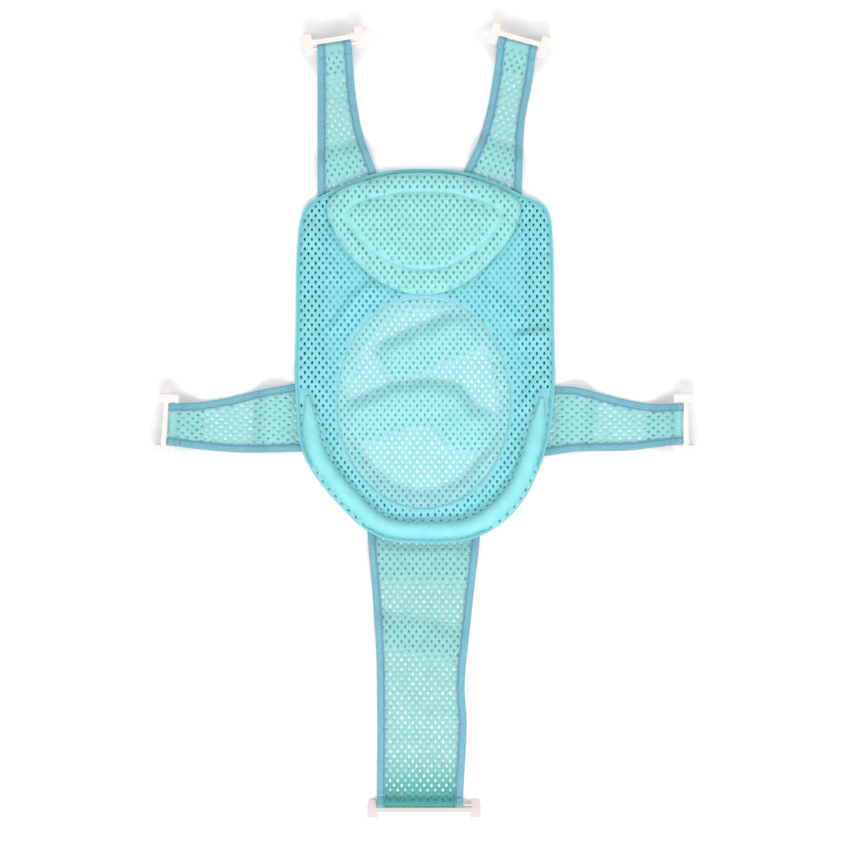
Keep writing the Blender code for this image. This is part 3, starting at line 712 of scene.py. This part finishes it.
def make_body(looks):
    body_holes = hole_places(OUTLINE, [SEAM], margin=0.0026)
    hidden = within(body_holes, PILLOW) & (near(body_holes, PILLOW, True)[0] > 0.01)
    hidden |= near(body_holes, BUMPER_LINE)[0] < 0.007
    net = cloth("net_mesh", looks["net"], OUTLINE, raised(body_height), body_holes[~hidden],
                voids=[SEAM], extra=grid_inside(GROOVE, 0.012, 0.004), flat_shift=(0.5, 0.5))
    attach(net, "net_body")
    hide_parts("net_panel")

    lower_loop = OUTLINE + inward(OUTLINE) * BACKING_INSET
    lower_void = oval(90, 0.0035)
    backing = cloth("net_backing", looks["backing"], lower_loop, raised(backing_height),
                    voids=[lower_void], thick=0.0007,
                    extra=grid_inside(lower_loop, 0.012, 0.004, [lower_void]))
    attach(backing, "net_body")

    seat_loop = oval(110, 0.003)
    seat = cloth("seat_mesh", looks["seat"], seat_loop, raised(seat_height),
                 hole_places(seat_loop, margin=0.0026), thick=SLACK_THICK,
                 size=(0.00118, 0.00184), slack=True, flat_shift=(1.1, 0.2))
    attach(seat, "net_body")
    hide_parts("seat_panel")

    seam_tape = cloth("seat_seam_band", looks["seam"], oval(110, 0.0045), raised(band_height),
                      voids=[oval(110, -0.0024)], thick=0.0006)
    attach(seam_tape, "net_body")
    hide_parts("seat_seam_tape")

    edge = curve(BODY_OUTLINE, 480, True)
    binding = tape("net_binding", looks["edge"], edge, inward(edge), raised(body_height),
                   BODY_TAPE_DEPTH, NET_THICK, True)
    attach(binding, "net_body")
    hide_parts("body_binding")


# ---- pads

def pillow_height(points):
    """Height of the pillow's cover: a rounded rim, a sewn groove and a crowned middle."""
    edge = np.where(within(points, PILLOW), near(points, PILLOW, True)[0], 0.0)
    groove = near(points, GROOVE, True)[0]
    crown = np.where(within(points, GROOVE), 0.0026 * smooth(groove / 0.02), 0.0)
    shoulder = np.sqrt(np.maximum(1.0 - (1.0 - np.minimum(edge / 0.012, 1.0)) ** 2, 0.0))
    z = PAD_BASE - 0.0004 + PILLOW_RISE * shoulder
    z = z - GROOVE_DEPTH * np.exp(-(groove / GROOVE_WIDTH) ** 2) + crown
    return z + 0.0005 * ripple(points, 0.047, 6.0) * smooth(edge / 0.012)


def make_pillow(looks):
    holes = hole_places(PILLOW, margin=0.0026)
    holes = holes[near(holes, GROOVE, True)[0] > 0.003]
    rims = [PILLOW + inward(PILLOW) * inset for inset in (0.0004, 0.001, 0.002)]
    rims += [GROOVE, GROOVE + inward(GROOVE) * 0.0012, GROOVE - inward(GROOVE) * 0.0012]
    cover = cloth("pillow_mesh", looks["cover"], PILLOW, raised(pillow_height), holes, thick=0.0011,
                  extra=np.concatenate(rims), flat_shift=(2.0, 0.0))
    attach(cover, "net_body")
    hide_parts("pillow_cover")

    # The filling: rings from the rim to the middle, of the outline's shape at the rim and of the
    # groove's from there inwards.
    centre = np.array(PILLOW_CENTRE)
    wide, long = GROOVE_SHARE
    rings = []
    for share in (1.0, 0.985, 0.95, 0.9, 0.83, 0.79, 0.74, 0.62, 0.45, 0.25, 0.08):
        outer = 1.0 - (1.0 - share) * (1.0 - long) / (1.0 - wide)
        narrow = outer if share > wide else share / wide * long
        ring = (PILLOW - centre) * (share, narrow) + centre
        ring = ring + inward(ring) * 0.0016 * smooth(share * 4.0)
        z = np.maximum(pillow_height(ring) - 0.0011, PAD_BASE - 0.0004)
        rings.append(np.column_stack([ring, z]))
    bottom = rings[0].copy()
    bottom[:, 2] = PAD_BASE - 0.0007
    foam = tube("pillow_filling", np.array([bottom] + rings), looks["foam"])
    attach(foam, "net_body")
    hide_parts("pillow_foam")


# The section of the bumper's sleeve: distance to its inner side, and height.
SLEEVE = [
    (-0.0122, 0.0041), (-0.0094, 0.0043), (-0.0074, 0.0056), (-0.0063, 0.0088), (-0.0044, 0.012),
    (-0.0014, 0.0141), (0.0022, 0.0149), (0.0058, 0.0141), (0.0087, 0.012), (0.0104, 0.0088),
    (0.0114, 0.0056), (0.013, 0.0043), (0.015, 0.0041),
]


def make_bumper(looks):
    line = bumper_line(240)
    travelled = lengths(line)
    length = travelled[-1]
    section = curve(SLEEVE, 90)
    girth = lengths(section)
    round_it = girth[-1]
    along = unit(np.gradient(line, axis=0))

    def at(values, s):
        return np.stack([np.interp(s, travelled, values[:, k]) for k in (0, 1)], 1)

    def place(points, sink=0.0, slim=1.0):
        """The sleeve's surface, from the distance along the roll and that around it."""
        s = np.clip(points[:, 0], 0.0, length)
        gone = np.minimum(s, length - s)
        taper = 0.12 + 0.88 * smooth((gone + 0.005) / 0.048) ** 0.75
        taper *= 1.0 + 0.025 * np.sin(s / 0.031 * 2.0 * math.pi) * np.sin(s / 0.083)
        rise = 0.04 + 0.96 * (0.25 * smooth(gone / 0.012) + 0.75 * smooth(gone / 0.054))
        offset = np.interp(points[:, 1], girth, section[:, 0]) * taper * slim
        high = (np.interp(points[:, 1], girth, section[:, 1]) - SLEEVE[0][1]) * rise - sink
        run = at(along, s)
        side = np.stack([-run[:, 1], run[:, 0]], 1)
        return np.column_stack([at(line, s) + side * offset[:, None], PAD_FOOT + high])

    steps = np.linspace(0.0, length, 200)
    ends = np.linspace(0.0, round_it, 12)[1:-1]
    loop = np.concatenate([
        np.stack([steps, np.zeros(200)], 1),
        np.stack([np.full(10, length), ends], 1),
        np.stack([steps[::-1], np.full(200, round_it)], 1),
        np.stack([np.zeros(10), ends[::-1]], 1),
    ])
    holes = []
    for rim, middle in ((0.003, 0.0051), (round_it - 0.003, round_it - 0.0051)):
        rows = hole_places(loop, turn=math.pi / 2.0, across=0.0072, margin=0.0018, start=(0.0, rim))
        holes.append(rows[np.abs(rows[:, 1] - middle) < 0.0026])
    spare = hole_places(loop, turn=math.pi / 2.0, across=0.003, along=0.003, margin=0.001,
                        start=(0.0, round_it / 2.0))
    spare = spare[np.abs(spare[:, 1] - round_it / 2.0) < round_it / 2.0 - 0.0092]
    cover = cloth("bumper_sleeve", looks["bumper"], loop, place, np.concatenate(holes),
                  turn=math.pi / 2.0, thick=0.001, size=(0.001, 0.00165), extra=spare,
                  flat_shift=(3.0, 0.0))
    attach(cover, "net_body")
    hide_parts("bumper_cover")

    rings = []
    around = np.linspace(0.21 * round_it, 0.79 * round_it, 25)
    for s in np.linspace(0.0006, length - 0.0006, 150):
        ring = place(np.stack([np.full(25, s), around], 1), 0.00055, 0.96)
        foot = ring[[0, -1]].copy()
        foot[:, 2] = PAD_FOOT
        rings.append(np.concatenate([foot[:1], ring, foot[1:]]))
    foam = tube("bumper_filling", np.array(rings), looks["filling"])
    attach(foam, "net_body")
    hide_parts("bumper_foam")


# ---- straps

# Folds across each strap: distance from the hinge at the left and right edge, how far the cloth
# falls towards the tip and towards the body, and the height.
STRAP_FOLDS = {
    "shoulder_left": [(0.022, 0.034, 0.02, 0.03, 0.0054)],
    "shoulder_right": [(0.036, 0.024, 0.02, 0.03, 0.0054)],
    "side_left": [(0.022, 0.038, 0.022, 0.04, 0.0092)],
    "side_right": [(0.036, 0.022, 0.022, 0.04, 0.0084)],
    "foot": [(0.018, 0.012, 0.034, 0.04, 0.005), (0.12, 0.086, 0.03, 0.024, 0.0036)],
}
# The length over which each strap climbs to its clip's bar, and how late in it the climb comes.
CLIMB_LENGTH = {"shoulder_left": 0.034, "shoulder_right": 0.034, "side_left": 0.04,
                "side_right": 0.041, "foot": 0.0175}
CLIMB_POWER = 1.7
LOOP_RADIUS = 0.0032
HEM = 0.0085  # how far the cloth runs back under itself past its loop
TAPE_LEVEL = 0.0015  # middle of a strap's cloth on the floor, between its tapes
LOW_TOUCH = 0.0006  # and away from them
ROOT_DEPTH = 0.0052  # how far a strap reaches in under the net's edge
STRAP_TAPE_DEPTH = 0.008
STRAP_PITCH = (0.0084, 0.0054)


def outside(points):
    """Distance outwards from the net's edge."""
    return np.where(within(points, OUTLINE), 0.0, near(points, OUTLINE[::4], True)[0])


def strap_shift(strap):
    """Where a strap's pattern lies, so that no two straps are mottled alike."""
    return (0.0, 4.0 + strap["heading"] / 90)


def strap_shape(strap, key):
    """A strap's flat edges and outline, place function, direction, and its loop's length."""
    bar = np.array(strap["bar"])
    turn = math.radians(strap["heading"])
    out = np.array([math.cos(turn), math.sin(turn)])
    across = np.array([out[1], -out[0]])
    hinge = np.array(strap["hinge"])
    reach = float(np.dot(bar[:2] - hinge[:2], out))
    # The cloth meets its loop at a slope that depends on how high it has climbed, and the other
    # way round, so the slope is found by repeating.
    ramp = CLIMB_LENGTH[key]
    slope = 0.6
    for _ in range(20):
        slope = math.atan(CLIMB_POWER * (bar[2] + LOOP_RADIUS * math.cos(slope) - 0.0012) / ramp)
    over = bar[2] + LOOP_RADIUS * math.cos(slope)
    curl = LOOP_RADIUS * math.sin(slope)
    wrap = (math.pi + slope) * LOOP_RADIUS

    def edge(points, tip):
        end = bar[:2] + across * tip
        leave = np.array(points[1]) - np.array(points[0])
        first = np.array(points[0]) - leave / np.linalg.norm(leave) * 0.03
        line = curve([tuple(first)] + list(points) + [tuple(end)], 130)
        depth = np.where(within(line, OUTLINE), near(line, OUTLINE, True)[0], 0.0)
        line = line[np.nonzero(depth > ROOT_DEPTH)[0].max():]
        steps = np.linspace(0.0, wrap + HEM, 26)[1:]
        return np.concatenate([line, end + out * steps[:, None]])

    left = edge(strap["left"], strap["tip"][0])
    right = edge(strap["right"], strap["tip"][1])
    folds = []
    for at_left, at_right, front, back, height in STRAP_FOLDS[key]:
        start = hinge[:2] + out * at_left - across * 0.08
        end = hinge[:2] + out * at_right + across * 0.08
        folds.append((np.array([tuple(start), tuple(end)]), front, back, height))

    def lying(points):
        """Height of the strap before its loop."""
        gone = (points - hinge[:2]) @ out
        away = outside(points) - 0.001
        edge_gap = np.minimum(near(points, left)[0], near(points, right)[0])
        z = TAPE_LEVEL - (TAPE_LEVEL - LOW_TOUCH) * smooth((edge_gap - 0.004) / 0.01)
        for line, front, back, height in folds:
            distance, _, side = near(points, line)
            fall = np.where(side > 0, front, back)
            z = z + height * smooth(1.0 - distance / fall) * smooth(away / 0.012)
        z = z + 0.00035 * (ripple(points, 0.04, 3.0) + 1.0) * smooth(away / 0.02)
        climb = np.clip((gone - reach + ramp) / ramp, 0.0, 1.0) ** CLIMB_POWER
        hem_groove = 0.0012 * np.exp(-((gone - reach + HEM) / 0.0013) ** 2)
        return mixed(z, over, climb) - hem_groove

    def place(points):
        beyond = (points - bar[:2]) @ out
        flat = points - out * np.maximum(beyond, 0.0)[:, None]
        angle = math.pi / 2.0 + slope - np.clip(beyond / LOOP_RADIUS, 0.0, wrap / LOOP_RADIUS)
        back = np.maximum(beyond - wrap, 0.0)
        drawn = -curl * smooth((beyond + ramp) / ramp)
        moved = np.where(beyond > 0.0, LOOP_RADIUS * np.cos(angle) - back, drawn)
        looped = bar[2] + LOOP_RADIUS * np.sin(angle)
        under = lying(flat - out * np.maximum(back - curl, 0.0)[:, None]) - 0.0016
        looped = mixed(looped, under, smooth(back / 0.0075))
        return np.column_stack([flat + out * moved[:, None],
                                np.where(beyond > 0.0, looped, lying(flat))])

    root = OUTLINE + inward(OUTLINE) * ROOT_DEPTH
    low, high = sorted((float(left[0] @ across), float(right[0] @ across)))
    near_root = np.linalg.norm(root - hinge[:2], axis=1) < 0.085
    root = root[near_root & (root @ across > low + 0.001) & (root @ across < high - 0.001)]
    root = root[np.argsort(root @ across)]
    loop = np.concatenate([right, left[::-1], root])
    if area_of(loop) < 0.0:
        loop = loop[::-1]
    return left, right, loop, place, out, wrap


def make_strap(key, strap, looks):
    left, right, loop, place, out, wrap = strap_shape(strap, key)
    foot = key == "foot"
    turn = 0.0 if foot else math.radians(strap["heading"]) - math.pi / 2.0
    holes = hole_places(loop, turn=turn, across=STRAP_PITCH[0], along=STRAP_PITCH[1],
                        margin=0.0046, start=strap["bar"][:2])
    gap = np.minimum(near(holes, left)[0], near(holes, right)[0])
    beyond = (holes - np.array(strap["bar"][:2])) @ out
    keep = (gap > 0.0078) & ((beyond < -0.003) | (beyond > wrap + 0.003))
    band = cloth(key + "_mesh", looks["foot_strap" if foot else "strap"], loop, place, holes[keep],
                 turn=turn, thick=SLACK_THICK, size=(0.0012, 0.00192), slack=True,
                 extra=grid_inside(loop, 0.005, 0.0024), flat_shift=strap_shift(strap))
    start = np.array(strap["hinge"])
    outward = np.array([*strap["outward"], 0.0])
    for number, line in enumerate((left, right)):
        dense = even(line, 3 * len(line))
        run = unit(np.gradient(dense, axis=0))
        aim = np.stack([run[:, 1], -run[:, 0]], 1) * (1.0 if number == 0 else -1.0)
        name = strap["tapes"][number].replace("_tape_", "_") + "_binding"
        made = tape(name, looks["tape"], dense, aim, place, STRAP_TAPE_DEPTH, SLACK_THICK, False,
                    seed=number + strap["heading"])
        strap["body"]
        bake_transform(made)
        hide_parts(strap["tapes"][number])
    strap["body"]
    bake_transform(band)
    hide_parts(strap["band"])
    abs(area_of(loop)) * 0.86


def area_of(loop):
    """Signed area of a flat loop."""
    x, y = loop[:, 0], loop[:, 1]
    return 0.5 * float((x * np.roll(y, -1) - y * np.roll(x, -1)).sum())


# ---- clips

# In the clip's own frame: x along its bars, y outwards from the round bar, z up.
ARM_WIDTH = 0.0095
ARM_THICK = 0.004
ARM_INNER = 0.0062
HOOK_OUTER = 0.0173
HOOK_DROP = 0.018
HOOK_THICK = 0.0043
LIP = 0.0012
LIP_HEIGHT = 0.003
FRONT_BAR = ((0.0055, 0.004), (0.007, 0.0046))  # depth and height: small clips, foot clip
FRONT_BAR_AT = 0.0073
ROD_RADIUS = 0.002


def make_clip(key, strap, looks):
    """Two hooked arms, a front bar and the round bar in the strap's loop, in one moulding."""
    half = ARM_THICK / 2.0
    inside = HOOK_OUTER - HOOK_THICK
    lip = inside - LIP
    arm = [
        (-ARM_INNER, -half), (-ARM_INNER, half), (HOOK_OUTER, half), (HOOK_OUTER, -HOOK_DROP),
        (lip, -HOOK_DROP), (lip, -HOOK_DROP + LIP_HEIGHT / 2.0), (inside, -HOOK_DROP + LIP_HEIGHT),
        (inside, -half),
    ]
    depth, height = FRONT_BAR[key == "foot"]
    front, rear = FRONT_BAR_AT - depth / 2.0, FRONT_BAR_AT + depth / 2.0
    low, high = -height / 2.0, height / 2.0
    bar = [(front, low), (front, high), (rear, high), (rear, low)]
    near_end, reach = strap["span"] / 2.0, strap["span"] / 2.0 + 0.001
    far_end = near_end + ARM_WIDTH
    points, faces = [], []
    parts = ((-far_end, -near_end, arm), (near_end, far_end, arm), (-reach, reach, bar))
    for x0, x1, profile in parts:
        ring = [[(x, y, z) for y, z in profile] for x in (x0, x1)]
        faces.extend(tuple(len(points) + k for k in face) for face in sweep(np.array(ring), False))
        points.extend(ring[0] + ring[1])
    mesh = bpy.data.meshes.new(strap["clip"][0] + "_moulding")
    mesh.from_pydata(points, [], faces)
    shell = bmesh.new()
    shell.from_mesh(mesh)
    bmesh.ops.recalc_face_normals(shell, faces=shell.faces)
    bmesh.ops.bevel(shell, geom=list(shell.edges), offset=0.0006, segments=3, profile=0.6,
                    affect="EDGES")
    bmesh.ops.create_cone(shell, cap_ends=True, segments=28, radius1=ROD_RADIUS, radius2=ROD_RADIUS,
                          depth=2.0 * reach,
                          matrix=Vector((1, 0, 0)).to_track_quat("Z", "Y").to_matrix().to_4x4())
    shell.to_mesh(mesh)
    shell.free()
    mesh.shade_smooth()
    mesh.set_sharp_from_angle(angle=math.radians(50.0))
    mesh.materials.append(looks["plastic"])
    turn = Euler((math.radians(strap["tilt"]), 0.0, math.radians(strap["heading"] - 90.0)))
    mesh.transform(Matrix.LocRotScale(Vector(strap["bar"]), turn, None))
    clip = bpy.data.objects.new(mesh.name, mesh)
    bpy.context.scene.collection.objects.link(clip)
    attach(clip, strap["clip"][1])
    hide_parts(strap["clip"][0])


# Each knit: its low, middle and high colour, its sheen, the light it lets through and its relief.
KNITS = {
    "net": ("net_knit", (0.305, 0.72, 0.79), (0.352, 0.77, 0.84),
            (0.4, 0.815, 0.875), 0.1, 0.45, 0.35),
    # The backing's colours are darker than the net's own teal: painted shade inside the net's
    # double layer.
    "backing": ("backing_knit", (0.18, 0.56, 0.56), (0.215, 0.62, 0.62),
                (0.25, 0.68, 0.67), 0.0, 0.0, 0.3),
    "seat": ("seat_knit", (0.455, 0.745, 0.8), (0.505, 0.795, 0.85),
             (0.555, 0.845, 0.885), 0.1, 0.5, 0.35),
    "strap": ("strap_knit", (0.4, 0.675, 0.695), (0.465, 0.735, 0.755),
              (0.525, 0.795, 0.815), 0.1, 0.5, 0.35),
    "foot_strap": ("foot_strap_knit", (0.35, 0.6, 0.6), (0.41, 0.66, 0.66),
                   (0.48, 0.73, 0.73), 0.1, 0.47, 0.35),
    "cover": ("cover_knit", (0.25, 0.63, 0.615), (0.3, 0.685, 0.675),
              (0.35, 0.74, 0.73), 0.12, 0.18, 0.35),
    "bumper": ("bumper_knit", (0.2, 0.6, 0.625), (0.26, 0.665, 0.695),
               (0.325, 0.735, 0.765), 0.12, 0.15, 0.42),
}


# ---- stage, light and camera

def make_stage():
    look = Look(bpy.data.materials.new("white_floor"), {
        "Emission Color": (1.0, 1.0, 1.0, 1.0), "Emission Strength": 0.02, "Roughness": 1.0,
        "Specular IOR Level": 0.0,
    })
    noise = look.add("TexNoise", {"Scale": 3.0}, "Fac")
    look.put("Base Color", look.ramp(noise, (0.0, (0.75, 0.75, 0.75)), (1.0, (0.76, 0.76, 0.76))))
    bpy.ops.mesh.primitive_plane_add(size=12.0, location=(0.0, 0.0, 0.0))
    floor = bpy.context.object
    floor.name = "floor"
    floor.data.materials.append(look.material)
    floor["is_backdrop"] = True


# Each light: its name, its place, its size and its power. All of them aim at the origin.
LIGHTS = [
    ("foot_side", (0.0, -2.2, 2.1), (2.6, 1.2), 80.0),
    ("left_side", (-2.4, 0.2, 1.9), (2.2, 1.2), 34.0),
    ("right_side", (2.4, 0.2, 1.9), (2.2, 1.2), 40.0),
    ("head_side", (0.0, 2.4, 2.1), (2.2, 1.2), 18.0),
]


def make_light():
    world = bpy.data.worlds.new("studio")
    bpy.context.scene.world = world
    world.use_nodes = True
    background = world.node_tree.nodes["Background"]
    background.inputs["Color"].default_value = (1.0, 1.0, 1.0, 1.0)
    background.inputs["Strength"].default_value = 0.5
    for name, place, size, power in LIGHTS:
        light = bpy.data.lights.new(name, "AREA")
        light.shape = "RECTANGLE"
        light.size, light.size_y = size
        light.energy = power
        lamp = bpy.data.objects.new(name, light)
        lamp.location = place
        lamp.rotation_euler = (-Vector(place)).to_track_quat("-Z", "Y").to_euler()
        bpy.context.scene.collection.objects.link(lamp)
    view = bpy.context.scene.view_settings
    view.view_transform = "Standard"
    view.look = "None"
    view.exposure = 0.0
    view.gamma = 1.0


def make_camera():
    camera = bpy.data.cameras.new("camera")
    camera.sensor_width = 36.0
    camera.lens = 113.6
    camera.clip_end = 50.0
    eye = bpy.data.objects.new("camera", camera)
    eye.location = (0.00056, -0.00056, 3.0)
    bpy.context.scene.collection.objects.link(eye)
    bpy.context.scene.camera = eye


# ---- the scene

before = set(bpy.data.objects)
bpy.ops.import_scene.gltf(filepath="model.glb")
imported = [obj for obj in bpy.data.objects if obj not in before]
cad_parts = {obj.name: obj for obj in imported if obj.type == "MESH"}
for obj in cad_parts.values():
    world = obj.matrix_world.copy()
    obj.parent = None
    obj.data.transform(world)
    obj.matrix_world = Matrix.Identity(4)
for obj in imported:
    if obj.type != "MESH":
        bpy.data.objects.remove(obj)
cad_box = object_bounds()
make_camera()
make_stage()
make_light()

looks = {key: knit_material(*row) for key, row in KNITS.items()}
looks["seam"] = tape_material("seam_tape", (0.17, 0.5, 0.62), (0.24, 0.6, 0.72), (0.12, 0.42, 0.56))
looks["edge"] = tape_material(
    "edge_tape", (0.11, 0.42, 0.46), (0.18, 0.54, 0.58), (0.07, 0.34, 0.4))
looks["tape"] = tape_material(
    "strap_tape", (0.1, 0.28, 0.35), (0.165, 0.375, 0.45), (0.05, 0.19, 0.3))
# Both fillings are a darker teal than the foam's own pale aqua: painted shade under their covers.
looks["foam"] = foam_material("pillow_foam_look", (0.16, 0.42, 0.38), (0.3, 0.62, 0.56))
looks["filling"] = foam_material("bumper_foam_look", (0.14, 0.46, 0.47), (0.2, 0.56, 0.57))
looks["plastic"] = plastic_material("clip_plastic_look")
# Painted shade: the backing darkens towards the net's sides, where the raised net above it shades
# it.
paint_shade(looks["backing"], "X", 9.2, 12.2, (0.008, 0.27, 0.29))
# Painted shade: the foot strap's colour deepens towards its clip, where the cloth climbs to the bar
# and shades the floor under it.
foot_end = 100.0 * (STRAPS["foot"]["bar"][1] + strap_shift(STRAPS["foot"])[1])
paint_shade(looks["foot_strap"], "Y", foot_end + 6.5, foot_end + 0.8, (0.13, 0.43, 0.4))
make_body(looks)
make_pillow(looks)
make_bumper(looks)
for key, strap in STRAPS.items():
    make_strap(key, strap, looks)
    make_clip(key, strap, looks)

looks_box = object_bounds()
[[list(corner) for corner in box] for box in (cad_box, looks_box)]
